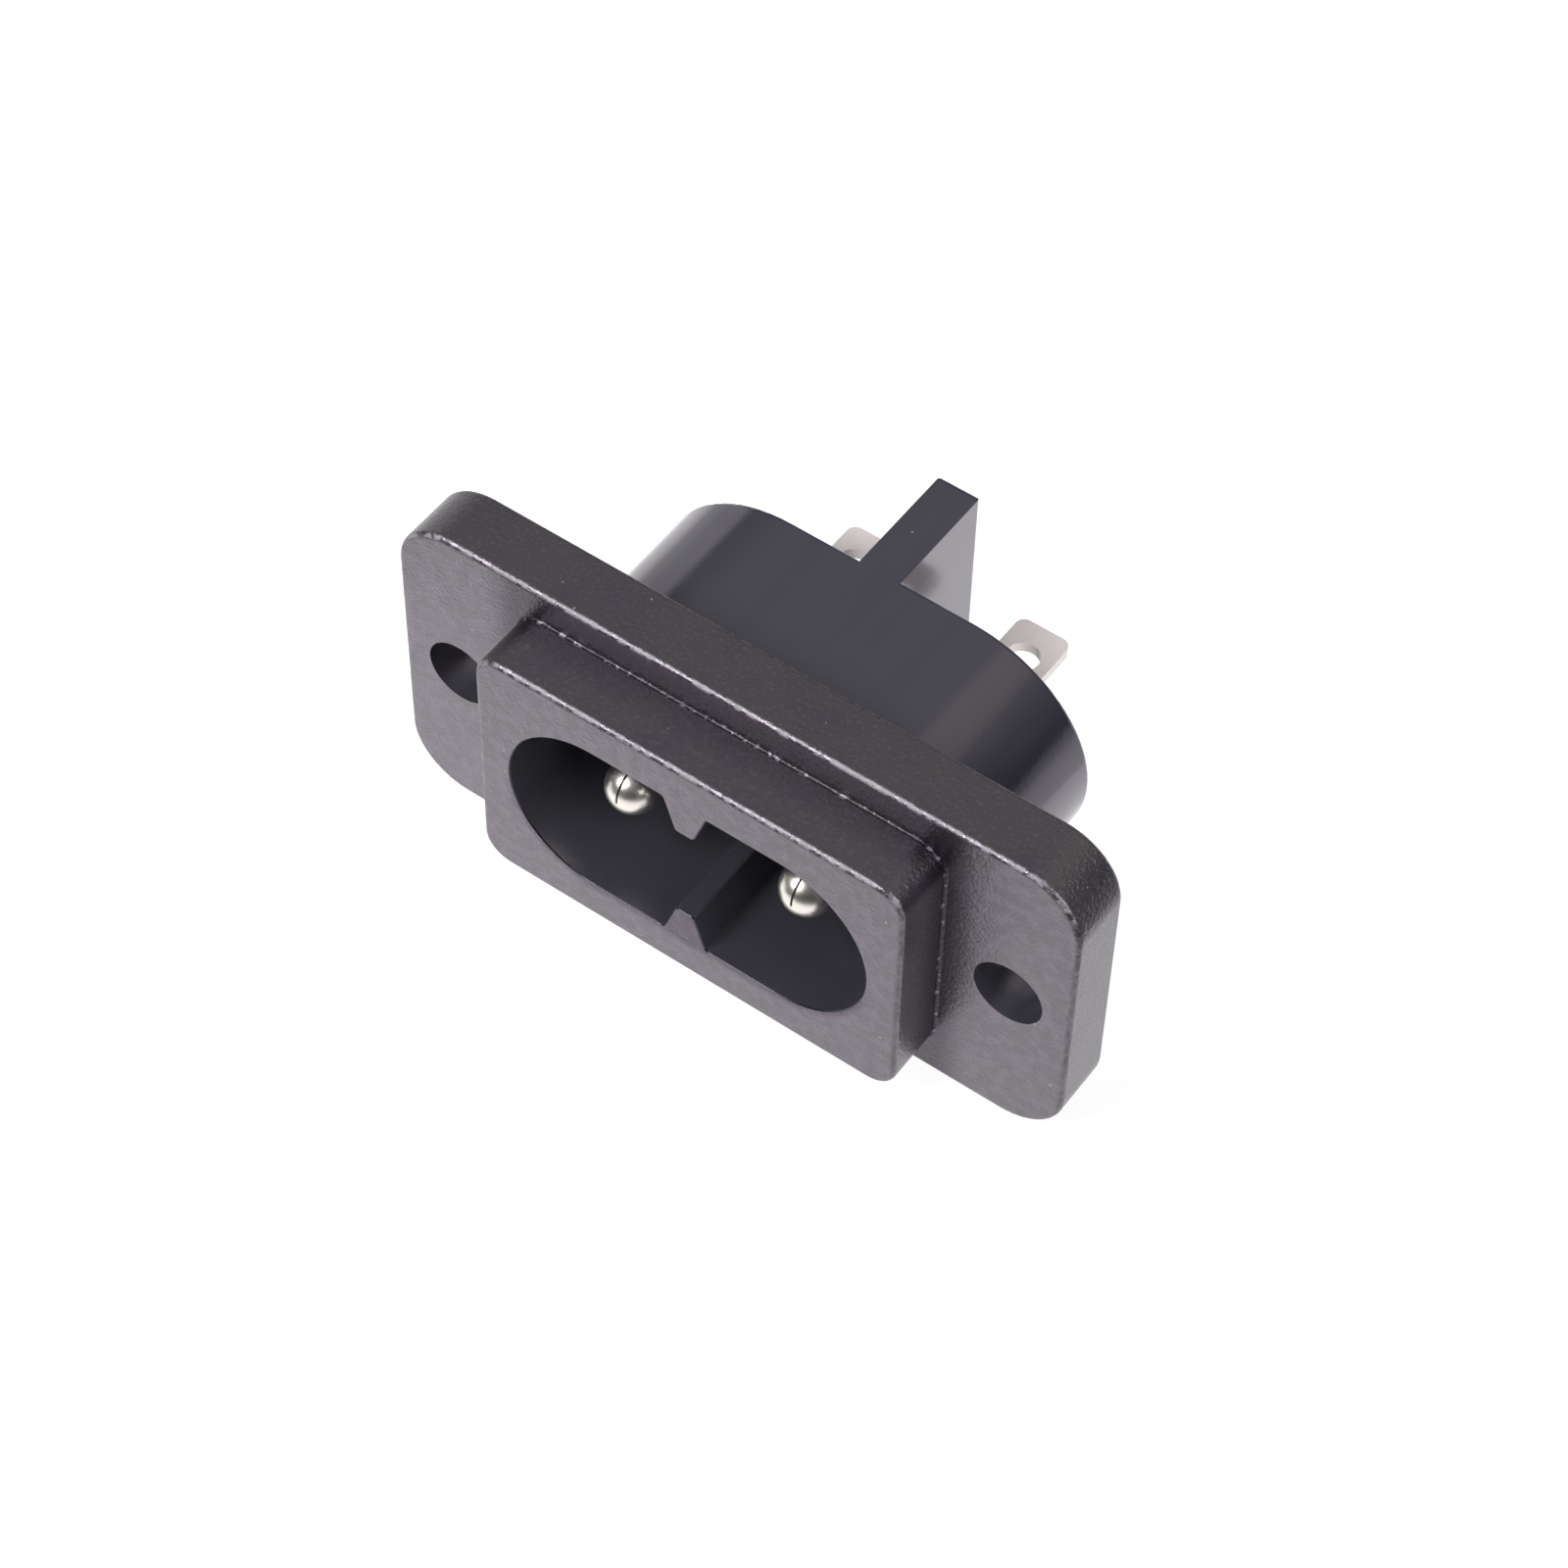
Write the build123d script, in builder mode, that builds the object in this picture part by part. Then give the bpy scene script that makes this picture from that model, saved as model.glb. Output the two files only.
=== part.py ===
"""Figure-eight appliance inlet for panel mounting, two poles, with screw ears.

The frame stands on the back face of the flange, where the panel is: +Y runs backwards
into the appliance, -Y forwards to the mating plug, +X to the right and +Z up.
All lengths are in millimetres.
"""

from build123d import *
import os

# Plug interface
pin_spacing = 8.6
pin_diameter = 2.36
pin_setback = 1.25
recess_width = 17.5
recess_height = 8.6
recess_depth = 10.8

# Keying ribs, one above and one below the middle of the recess
rib_base = 2.1
rib_tip = 0.9
rib_height = 1.75
rib_round = 0.2

# Flange with its two screw ears, each ending beyond its screw hole, and a lip above and below the shroud
screw_spacing = 27.0
screw_hole_diameter = 3.2
ear_end = 2.9
flange_lip = 1.6
flange_thickness = 3.0
flange_corner = 2.8

# Rectangular shroud in front of the flange
shroud_width = 20.6
shroud_height = 12.8
shroud_length = 2.85
shroud_corner = 1.3

# Body behind the flange, with round ends
body_width = 20.9
body_height = 12.0
body_length = 7.45

# Insulating wall between the two solder tabs
partition_thickness = 2.0
partition_length = 5.65

# Moulded edges
outer_edge_round = 0.25
shroud_root_round = 0.15
mouth_edge_chamfer = 0.05
partition_edge_round = 0.3

# Contacts, stamped from strip with the front end rolled up into a round pin
strip_thickness = 0.55
tab_width = 2.55
tab_length = 6.25
tab_corner = 0.45
tab_hole_diameter = 1.5
tab_hole_from_end = 1.8
pin_nose_round = 1.1
pin_heel_chamfer = 0.12
seam_gap = 0.1
contact_clearance = 0.03

# Outline of the flange
flange_width = screw_spacing + 2 * ear_end
flange_height = shroud_height + 2 * flange_lip

# Places along the depth
flange_front = -flange_thickness
shroud_front = flange_front - shroud_length
recess_floor = shroud_front + recess_depth
body_back = body_length
partition_back = body_back + partition_length
pin_tip = shroud_front + pin_setback
pin_back = recess_floor - contact_clearance
tab_end = body_back + tab_length

# The strip runs on from the lowest wall of the rolled pin
pin_radius = pin_diameter / 2
strip_bottom = -pin_radius
strip_middle = strip_bottom + strip_thickness / 2

pole_places = {"left_contact": -pin_spacing / 2, "right_contact": pin_spacing / 2}


def across(depth):
    """A plane square to the plug's path, facing the plug, at the given place in depth."""
    return Plane.XZ.offset(-depth)


with BuildPart() as housing:
    # Flange, rounded off along both of its outlines
    with BuildSketch(across(0)):
        RectangleRounded(flange_width, flange_height, flange_corner)
    extrude(amount=flange_thickness)
    flange_faces = housing.faces().filter_by(Axis.Y)
    fillet(flange_faces.edges(), radius=outer_edge_round)

    # Shroud, rounded off round its front and blended into the flange at its root
    with BuildSketch(across(flange_front)):
        RectangleRounded(shroud_width, shroud_height, shroud_corner)
    extrude(amount=shroud_length)
    fillet(housing.faces().sort_by(Axis.Y)[0].edges(), radius=outer_edge_round)
    flange_face = housing.faces().filter_by(Axis.Y).sort_by(Axis.Y)[1]
    fillet(flange_face.inner_wires()[0].edges(), radius=shroud_root_round)

    # Body behind the flange, rounded off round its back
    with BuildSketch(across(0)):
        SlotOverall(body_width, body_height)
    extrude(amount=-body_length)
    fillet(housing.faces().sort_by(Axis.Y)[-1].edges(), radius=outer_edge_round)

    # Partition, flush with the top and bottom of the body
    with BuildSketch(across(0)):
        Rectangle(partition_thickness, body_height)
    extrude(amount=-partition_back)
    fillet(housing.faces().sort_by(Axis.Y)[-1].edges(), radius=partition_edge_round)

    # Figure-eight recess: a slot for the plug, pinched in the middle by the two ribs
    with BuildSketch(across(shroud_front)) as recess:
        SlotOverall(recess_width, recess_height)
        for side in (1, -1):
            root = side * recess_height / 2
            crest = root - side * rib_height
            with BuildLine():
                Polyline(
                    (-rib_base / 2, root),
                    (-rib_tip / 2, crest),
                    (rib_tip / 2, crest),
                    (rib_base / 2, root),
                    close=True,
                )
            make_face(mode=Mode.SUBTRACT)
        rib_corners = recess.vertices().filter_by_position(Axis.X, -rib_base, rib_base)
        fillet(rib_corners, radius=rib_round)
    extrude(amount=-recess_depth, mode=Mode.SUBTRACT)
    mouth = housing.faces().sort_by(Axis.Y)[0].inner_wires()[0]
    chamfer(mouth.edges(), length=mouth_edge_chamfer)

    # Screw holes through the ears
    with BuildSketch(across(0)):
        with GridLocations(screw_spacing, 0, 2, 1):
            Circle(screw_hole_diameter / 2)
    extrude(amount=flange_thickness, mode=Mode.SUBTRACT)

    # Slots for the strips, from the floor of the recess out through the back
    with BuildSketch(across(body_back)):
        with Locations((0, strip_middle)):
            with GridLocations(pin_spacing, 0, 2, 1):
                Rectangle(tab_width + 2 * contact_clearance, strip_thickness + 2 * contact_clearance)
    extrude(amount=body_back - recess_floor, mode=Mode.SUBTRACT)

housing.part.label = "housing"


def rolled_contact(label, pole):
    """One contact: a rolled pin with its seam on top, and the flat strip behind it as solder tab."""
    bore_radius = pin_radius - strip_thickness
    with BuildPart() as contact:
        # Rolled pin with a closed, rounded nose, its heel chamfered against the recess floor
        with BuildSketch(Plane.XY):
            with BuildLine():
                Line((pole, pin_tip), (pole + pin_radius - pin_nose_round, pin_tip))
                RadiusArc(
                    (pole + pin_radius - pin_nose_round, pin_tip),
                    (pole + pin_radius, pin_tip + pin_nose_round),
                    -pin_nose_round,
                )
                Polyline(
                    (pole + pin_radius, pin_tip + pin_nose_round),
                    (pole + pin_radius, pin_back - pin_heel_chamfer),
                    (pole + pin_radius - pin_heel_chamfer, pin_back),
                    (pole + bore_radius, pin_back),
                    (pole + bore_radius, pin_tip + pin_nose_round),
                    (pole, pin_tip + strip_thickness),
                    (pole, pin_tip),
                )
            make_face()
        revolve(axis=Axis((pole, 0, 0), (0, 1, 0)))

        # Seam where the two edges of the strip meet, from the middle of the nose to the back
        with BuildSketch(Plane.XY):
            with Locations((pole, (pin_tip + pin_back) / 2)):
                Rectangle(seam_gap, pin_back - pin_tip)
        extrude(amount=pin_radius, mode=Mode.SUBTRACT)

        # Flat strip through the housing, ending in the solder tab
        with BuildSketch(Plane.XY.offset(strip_bottom)) as strip:
            with Locations((pole, (pin_back + tab_end) / 2)):
                Rectangle(tab_width, tab_end - pin_back)
            fillet(strip.vertices().group_by(Axis.Y)[-1], radius=tab_corner)
            with Locations((pole, tab_end - tab_hole_from_end)):
                Circle(tab_hole_diameter / 2, mode=Mode.SUBTRACT)
        extrude(amount=strip_thickness)

    contact.part.label = label
    return contact.part


contacts = [rolled_contact(label, pole) for label, pole in pole_places.items()]

os.makedirs("parts", exist_ok=True)
export_step(housing.part, "parts/housing.step")
for contact_part in contacts:
    export_step(contact_part, f"parts/{contact_part.label}.step")
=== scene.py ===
import math

import bpy
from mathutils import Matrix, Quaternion, Vector


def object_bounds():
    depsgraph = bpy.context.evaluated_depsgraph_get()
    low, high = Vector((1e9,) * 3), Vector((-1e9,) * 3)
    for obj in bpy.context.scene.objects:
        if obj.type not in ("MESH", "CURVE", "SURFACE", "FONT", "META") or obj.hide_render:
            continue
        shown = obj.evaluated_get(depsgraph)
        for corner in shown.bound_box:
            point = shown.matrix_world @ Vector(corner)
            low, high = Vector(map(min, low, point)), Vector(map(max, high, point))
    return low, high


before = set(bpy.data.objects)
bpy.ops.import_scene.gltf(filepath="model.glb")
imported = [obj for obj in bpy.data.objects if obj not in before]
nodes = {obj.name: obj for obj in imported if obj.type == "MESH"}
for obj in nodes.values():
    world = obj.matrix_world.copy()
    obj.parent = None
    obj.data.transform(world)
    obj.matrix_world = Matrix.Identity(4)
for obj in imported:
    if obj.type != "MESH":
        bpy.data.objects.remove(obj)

cad_low, cad_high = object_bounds()
bpy.ops.object.select_all(action="DESELECT")


# Housing
# One black thermoplastic moulding: flange with two screw ears, rectangular shroud round the
# figure-eight recess, round-ended body behind it and the insulating wall between the tabs.
# Spark-eroded steel gave the flange and the shroud a fine grain, polished steel the rest.

class Value:
    """One output of a shader node, used like a number in Python."""

    def __init__(self, tree, socket):
        self.tree = tree
        self.socket = socket

    def maths(self, operation, first, second=0.0):
        return self.tree.node(
            "ShaderNodeMath", {"operation": operation}, {0: first, 1: second},
        ).out("Value")

    def __add__(self, other):
        return self.maths("ADD", self, other)

    def __radd__(self, other):
        return self.maths("ADD", other, self)

    def __sub__(self, other):
        return self.maths("SUBTRACT", self, other)

    def __rsub__(self, other):
        return self.maths("SUBTRACT", other, self)

    def __mul__(self, other):
        return self.maths("MULTIPLY", self, other)

    def __rmul__(self, other):
        return self.maths("MULTIPLY", other, self)

    def __gt__(self, other):
        return self.maths("GREATER_THAN", self, other)

    def __lt__(self, other):
        return self.maths("LESS_THAN", self, other)

    def __or__(self, other):
        """The larger of the two, so that either of two masks counts."""
        return self.maths("MAXIMUM", self, other)

    def absolute(self):
        return self.maths("ABSOLUTE", self)

    def square_root(self):
        return self.maths("SQRT", self)

    def rise(self, start, end):
        """Goes smoothly from 0 at start to 1 at end."""
        return self.tree.node(
            "ShaderNodeMapRange", {"interpolation_type": "SMOOTHSTEP"},
            {"Value": self, "From Min": start, "From Max": end},
        ).out("Result")


class Made:
    """A node that has just been added, with its outputs by name or number."""

    def __init__(self, tree, node):
        self.tree = tree
        self.node = node

    def out(self, name):
        return Value(self.tree, self.node.outputs[name])


class Tree:
    """The node tree of a material or of the world, empty at the start."""

    def __init__(self, owner):
        owner.use_nodes = True
        self.nodes = owner.node_tree.nodes
        self.links = owner.node_tree.links
        self.nodes.clear()

    def node(self, kind, settings=None, inputs=None):
        """Adds a node, sets it up, and gives each named input a value or a link."""
        node = self.nodes.new(kind)
        for name, value in (settings or {}).items():
            if name == "stops":
                ramp = node.color_ramp
                while len(ramp.elements) < len(value):
                    ramp.elements.new(0.5)
                for element, (position, colour) in zip(ramp.elements, value):
                    element.position = position
                    element.color = colour
            else:
                setattr(node, name, value)
        for name, value in (inputs or {}).items():
            if isinstance(value, Value):
                self.links.new(value.socket, node.inputs[name])
            else:
                node.inputs[name].default_value = value
        return Made(self, node)

    def blend(self, share, first, second):
        """Mixes two colours, by the numbers that the Mix node gives its colour sockets."""
        return self.node(
            "ShaderNodeMix", {"data_type": "RGBA"}, {0: share, 6: first, 7: second},
        ).out(2)

    def noise(self, place, scale, detail):
        return self.node(
            "ShaderNodeTexNoise", {}, {"Vector": place, "Scale": scale, "Detail": detail},
        ).out("Fac")


def grey(level):
    return (level, level, level, 1.0)


MM = 0.001

# The moulding's faces from front to back
shroud_front = -5.85 * MM
flange_front = -3.0 * MM
flange_back = 0.0
body_back = 7.45 * MM

# Half the shroud's width, the ends of the recess, which are half circles, and the screw holes
shroud_side = 10.3 * MM
lobe_middle = 4.45 * MM
lobe_radius = 4.3 * MM
hole_middle = 13.5 * MM
hole_radius = 1.6 * MM

moulding = bpy.data.materials.new("black moulding")
tree = Tree(moulding)
coordinates = tree.node("ShaderNodeTexCoord")
place = coordinates.out("Object")
spot = tree.node("ShaderNodeSeparateXYZ", {}, {"Vector": place})
across = spot.out("X").absolute()
along = spot.out("Y")
height = spot.out("Z")
up = height.absolute()
facing = tree.node("ShaderNodeSeparateXYZ", {}, {"Vector": coordinates.out("Normal")})

# The grained side ends at the back face of the flange
polished = along.rise(flange_back - 0.05 * MM, flange_back + 0.05 * MM)
grained = 1.0 - polished

# Walls of the recess, with the chamfer of its mouth, and of the screw holes: clean, as hardly any
# dust gets in, and in shade; the paler black they get below is painted fill light there
beyond = (across - lobe_middle) | 0.0
outwards = (beyond * beyond + up * up).square_root()
recess = (
    (outwards < lobe_radius + 0.06 * MM)
    * (along > shroud_front + 0.001 * MM) * (along < body_back - 0.05 * MM)
)
beside = across - hole_middle
hole = (
    ((beside * beside + up * up).square_root() < hole_radius + 0.03 * MM)
    * (along > flange_front + 0.02 * MM) * (along < flange_back - 0.02 * MM)
)
inside = recess | hole

# Painted shade on the corner round the shroud and, darker still, in the hollow rounding there:
# both are made metallic below, so their dark colour reflects hardly anything
hollow = (along > flange_front - 0.17 * MM) * (along < flange_front - 0.01 * MM) * (1.0 - inside)
ear = across.rise(shroud_side, 12.0 * MM)
corner = (
    along.rise(-4.8 * MM, -3.2 * MM) * (along < flange_front + 0.01 * MM)
    * (1.0 - ear) * (1.0 - inside)
)

# The moulded roundings between the front or back faces and the walls, and what looks up
lean = facing.out("Y").absolute()
edge = (2.0 * lean * (1.0 - lean * lean).square_root()).rise(0.3, 0.9) * (1.0 - hollow)
upward = facing.out("Z").rise(0.1, 0.4)

# Patterns, from fine to coarse
grain = tree.noise(place, 6.0 / MM, 4.0)
wear = tree.noise(place, 2.6 / MM, 3.0)
mottle = tree.noise(place, 1.9 / MM, 5.0)
cloud = tree.noise(place, 0.45 / MM, 3.0)

# Flow streaks along the walls of the body
drawn = tree.node(
    "ShaderNodeMapping", {"vector_type": "POINT"}, {"Vector": place, "Scale": (1.0, 0.12, 1.0)},
).out("Vector")
streaks = tree.noise(drawn, 1.1 / MM, 3.0)

# The black of the moulding, a little warmer where it is grained, with paler specks of grain
warm_black = tree.node(
    "ShaderNodeValToRGB",
    {"stops": [(0.35, (0.021, 0.019, 0.027, 1)), (0.65, (0.028, 0.024, 0.023, 1))]},
    {"Fac": cloud},
).out("Color")
cool_black = tree.blend(streaks, (0.020, 0.020, 0.032, 1), (0.029, 0.029, 0.041, 1))
plain = tree.blend(polished, warm_black, cool_black)
grain_colour = (0.058, 0.054, 0.058, 1)
speckled = tree.blend(grained * grain.rise(0.5, 0.75) * 0.7, plain, grain_colour)

# Paler mottled patches on the front faces; they are left out of the flange front above and below
# the shroud and fade in beside it, which paints shade in that corner
patch_colour = (0.070, 0.055, 0.073, 1)
clear_of_painted_shade = ear | (along < shroud_front + 0.35 * MM)
patched_outside_painted_shade = lean.rise(0.8, 0.98) * grained * clear_of_painted_shade
patches = patched_outside_painted_shade * (0.1 + 0.9 * mottle.rise(0.35, 0.7))
patchy = tree.blend(patches, speckled, patch_colour)

# The edges that look up are made paler, partly wear and partly a painted highlight, but hardly
# the one that lies against a panel
wear_and_highlight_colour = (0.25, 0.24, 0.26, 1)
sheltered = along > flange_back - 0.5 * MM
rubbed_and_highlit = edge * upward * grained * (1.0 - 0.7 * sheltered)
worn_and_highlit = tree.blend(rubbed_and_highlit * wear.rise(0.42, 0.60) * 0.75, patchy, wear_and_highlight_colour)

# Dust, in dots along the hollow rounding and as a few pale specks all over
hollow_dust_colour = (0.16, 0.16, 0.18, 1)
dots = hollow * (wear > 0.6)
dotted = tree.blend(dots * 0.45, worn_and_highlit, hollow_dust_colour)
dust_colour = (0.45, 0.43, 0.40, 1)
cells = tree.node(
    "ShaderNodeTexVoronoi", {"feature": "F1"}, {"Vector": place, "Scale": 0.8 / MM},
)
chance = tree.node("ShaderNodeSeparateColor", {}, {"Color": cells.out("Color")}).out("Red")
specks = (cells.out("Distance") < 0.04) * (chance > 0.5)
dusty = tree.blend(specks * 0.6, dotted, dust_colour)

# A paler black for the walls of the recess and the screw holes, a painted fill light in their
# shade
inside_fill_light_colour = (0.040, 0.040, 0.050, 1)
colour = tree.blend(inside, dusty, inside_fill_light_colour)

bump = tree.node(
    "ShaderNodeBump", {},
    {"Strength": 0.9, "Distance": 0.04 * MM,
     "Height": grain * (1.0 - 0.9 * polished) * (1.0 - inside)},
).out("Normal")
finish = (
    0.27 - 0.12 * polished + 0.10 * (cloud - 0.5) + 0.10 * polished * (streaks - 0.5)
    + 0.28 * edge * wear.rise(0.35, 0.65) + 0.1 * hollow
)
roughness = finish * (1.0 - inside) + 0.25 * inside

# Painted shade on the chamfer of the mouth and on the lip below it, which is rounder on the real
# part: both are made metallic below, so they reflect hardly anything
chamfer = recess * (along < shroud_front + 0.06 * MM)
lip = (
    (1.0 - outwards.rise(lobe_radius + 0.05 * MM, lobe_radius + 0.5 * MM))
    * (along < shroud_front + 0.01 * MM)
)
below = 1.0 - height.rise(-2.5 * MM, 0.0)

# A dark colour on a metallic surface reflects hardly anything, which paints shade on the corner,
# the hollow rounding, the chamfer and the lip; elsewhere the moulding shines more than plain
# plastic does, with a faint violet tint
painted_shade_metallic = (0.5 * corner | 0.85 * hollow | 0.8 * chamfer | 0.45 * lip * below) * (1.0 - dots)
surface = tree.node(
    "ShaderNodeBsdfPrincipled", {},
    {"Base Color": colour, "Metallic": painted_shade_metallic, "Roughness": roughness, "IOR": 2.1,
     "Specular Tint": (0.96, 0.86, 1.0, 1), "Normal": bump},
).out("BSDF")
tree.node("ShaderNodeOutputMaterial", {}, {"Surface": surface})

housing = nodes["housing"]
housing.data.materials.clear()
housing.data.materials.append(moulding)


# Contacts
# Two brass strips with a bright nickel plating, rolled up at the front into round pins
# with a seam on top, and left flat behind as solder tabs with a hole.

plating = bpy.data.materials.new("nickel plating")
tree = Tree(plating)
place = tree.node("ShaderNodeTexCoord").out("Object")

# The tabs behind the body were dipped in solder, which dried dull and pale
along = tree.node("ShaderNodeSeparateXYZ", {}, {"Vector": place}).out("Y")
dipped = along.rise(body_back - 0.05 * MM, body_back + 0.45 * MM)

haze = tree.noise(place, 1.6 / MM, 3.0)
nickel = tree.blend(haze, (0.86, 0.82, 0.75, 1), (0.96, 0.92, 0.87, 1))
solder = tree.blend(haze, (0.88, 0.80, 0.79, 1), (0.95, 0.89, 0.88, 1))
ripple = tree.noise(place, 3.0 / MM, 2.0)
bump = tree.node(
    "ShaderNodeBump", {}, {"Strength": 0.3, "Distance": 0.02 * MM, "Height": ripple},
).out("Normal")
surface = tree.node(
    "ShaderNodeBsdfPrincipled", {},
    {"Base Color": tree.blend(dipped, nickel, solder), "Metallic": 1.0 - 0.85 * dipped,
     "Roughness": 0.22 + 0.16 * haze + 0.1 * dipped, "Normal": bump},
).out("BSDF")
tree.node("ShaderNodeOutputMaterial", {}, {"Surface": surface})

for name in ("left_contact", "right_contact"):
    contact = nodes[name]
    contact.data.materials.clear()
    contact.data.materials.append(plating)


# Studio
# A plain white floor and backdrop, a large soft lamp in front on the left, a weaker one on
# the right, two faint lights behind, and the camera as the photograph was taken.

floor_size = 1.6
floor_drop = 0.02 * MM
bpy.ops.mesh.primitive_plane_add(size=floor_size, location=(0, 0, cad_low.z - floor_drop))
floor = bpy.context.object
floor.name = "floor"

camera_azimuth = 34.575
camera_elevation = 52.098
camera_roll = 1.45
camera_distance = 165.43 * MM
camera_target = Vector((2.72, -3.0, 4.98)) * MM
backwards = (
    -math.sin(math.radians(camera_azimuth)), math.cos(math.radians(camera_azimuth)), 0.0,
)

white_floor = bpy.data.materials.new("white floor")
tree = Tree(white_floor)
rays = tree.node("ShaderNodeLightPath")
camera_ray = rays.out("Is Camera Ray")
place = tree.node("ShaderNodeTexCoord").out("Object")
reach = tree.node("ShaderNodeVectorMath", {"operation": "LENGTH"}, {"Vector": place}).out("Value")
away = tree.node(
    "ShaderNodeVectorMath", {"operation": "DOT_PRODUCT"}, {0: place, 1: backwards},
).out("Value")

# As the part mirrors it, the floor is lit close round the part and behind it, and dark
# further in front
close = (1.0 - reach.rise(27 * MM, 31 * MM)) * (1.1 + 0.35 * away.rise(-16 * MM, 16 * MM))
spread = (
    (0.75 + 0.5 * away.rise(-8 * MM, 20 * MM))
    * (1.0 - 0.45 * reach.rise(40 * MM, 110 * MM))
)
behind = away.rise(-8.5 * MM, -6.5 * MM) * spread
dark = 0.12

# The camera sees it white, also far off where the lamps reach it less
far = reach.rise(60 * MM, 250 * MM)
paper_light = close | behind | dark | camera_ray * (1.1 + 0.25 * far)

# A fifth of what the camera sees is plain paper, which keeps the shadow
paper = tree.node("ShaderNodeBsdfDiffuse", {}, {"Color": grey(0.8)}).out("BSDF")
glow = tree.node(
    "ShaderNodeEmission", {}, {"Color": paper_light, "Strength": 1.0},
).out("Emission")
share = camera_ray * 0.8 | rays.out("Is Glossy Ray") | rays.out("Is Transmission Ray")
surface = tree.node("ShaderNodeMixShader", {}, {"Fac": share, 1: paper, 2: glow}).out("Shader")
tree.node("ShaderNodeOutputMaterial", {}, {"Surface": surface})
floor.data.materials.append(white_floor)

# The room is dim at the height of the part and on the camera's side, and brighter overhead
# and behind the part; the camera sees it white
studio = bpy.context.scene.world or bpy.data.worlds.new("studio")
bpy.context.scene.world = studio
tree = Tree(studio)
direction = tree.node("ShaderNodeTexCoord").out("Generated")
height = tree.node("ShaderNodeSeparateXYZ", {}, {"Vector": direction}).out("Z")
away = tree.node(
    "ShaderNodeVectorMath", {"operation": "DOT_PRODUCT"}, {0: direction, 1: backwards},
).out("Value")
room_light = 0.02 + height.rise(-0.1, 1.0) * (0.12 + 0.26 * away.rise(-0.5, 0.3))
room = tree.node("ShaderNodeBackground", {}, {"Color": room_light}).out("Background")
white = tree.node("ShaderNodeBackground", {}, {"Color": grey(1.0)}).out("Background")
seen = tree.node("ShaderNodeLightPath").out("Is Camera Ray")
surface = tree.node("ShaderNodeMixShader", {}, {"Fac": seen, 1: room, 2: white}).out("Shader")
tree.node("ShaderNodeOutputWorld", {}, {"Surface": surface})


def from_part(azimuth, elevation):
    """The direction from the part to a place round it; azimuth 0 is straight in front."""
    turn, tilt = math.radians(azimuth), math.radians(elevation)
    level = math.cos(tilt)
    return Vector((math.sin(turn) * level, -math.cos(turn) * level, math.sin(tilt)))


def soft_lamp(name, azimuth, elevation, distance, size, power, colour=(1.0, 1.0, 1.0)):
    """Adds a square lamp or a lit white screen at a place round the part, aimed at it."""
    outward = from_part(azimuth, elevation)
    bpy.ops.object.light_add(type="AREA", location=outward * distance)
    lamp = bpy.context.object
    lamp.name = name
    lamp.data.size = size
    lamp.data.energy = power
    lamp.data.color = colour
    lamp.rotation_euler = (-outward).to_track_quat("-Z", "Y").to_euler()


soft_lamp("front lamp", azimuth=-29, elevation=44, distance=0.45, size=0.22, power=2.0)
soft_lamp("right lamp", azimuth=80, elevation=35, distance=0.5, size=0.3, power=1.2)
soft_lamp("left screen", azimuth=-122, elevation=5, distance=0.5, size=0.32, power=0.19)
soft_lamp(
    "back window", azimuth=145, elevation=53, distance=0.5, size=0.22, power=0.035,
    colour=(1.0, 0.85, 0.55),
)

towards_camera = from_part(camera_azimuth, camera_elevation)
bpy.ops.object.camera_add(location=camera_target + towards_camera * camera_distance)
camera = bpy.context.object
camera.data.lens = 98.1
camera.data.sensor_width = 36.0
camera.data.clip_start = 10 * MM
level_view = (-towards_camera).to_track_quat("-Z", "Y")
camera.rotation_mode = "QUATERNION"
camera.rotation_quaternion = level_view @ Quaternion((0, 0, 1), math.radians(camera_roll))
bpy.context.scene.camera = camera
bpy.context.scene.view_settings.view_transform = "Standard"
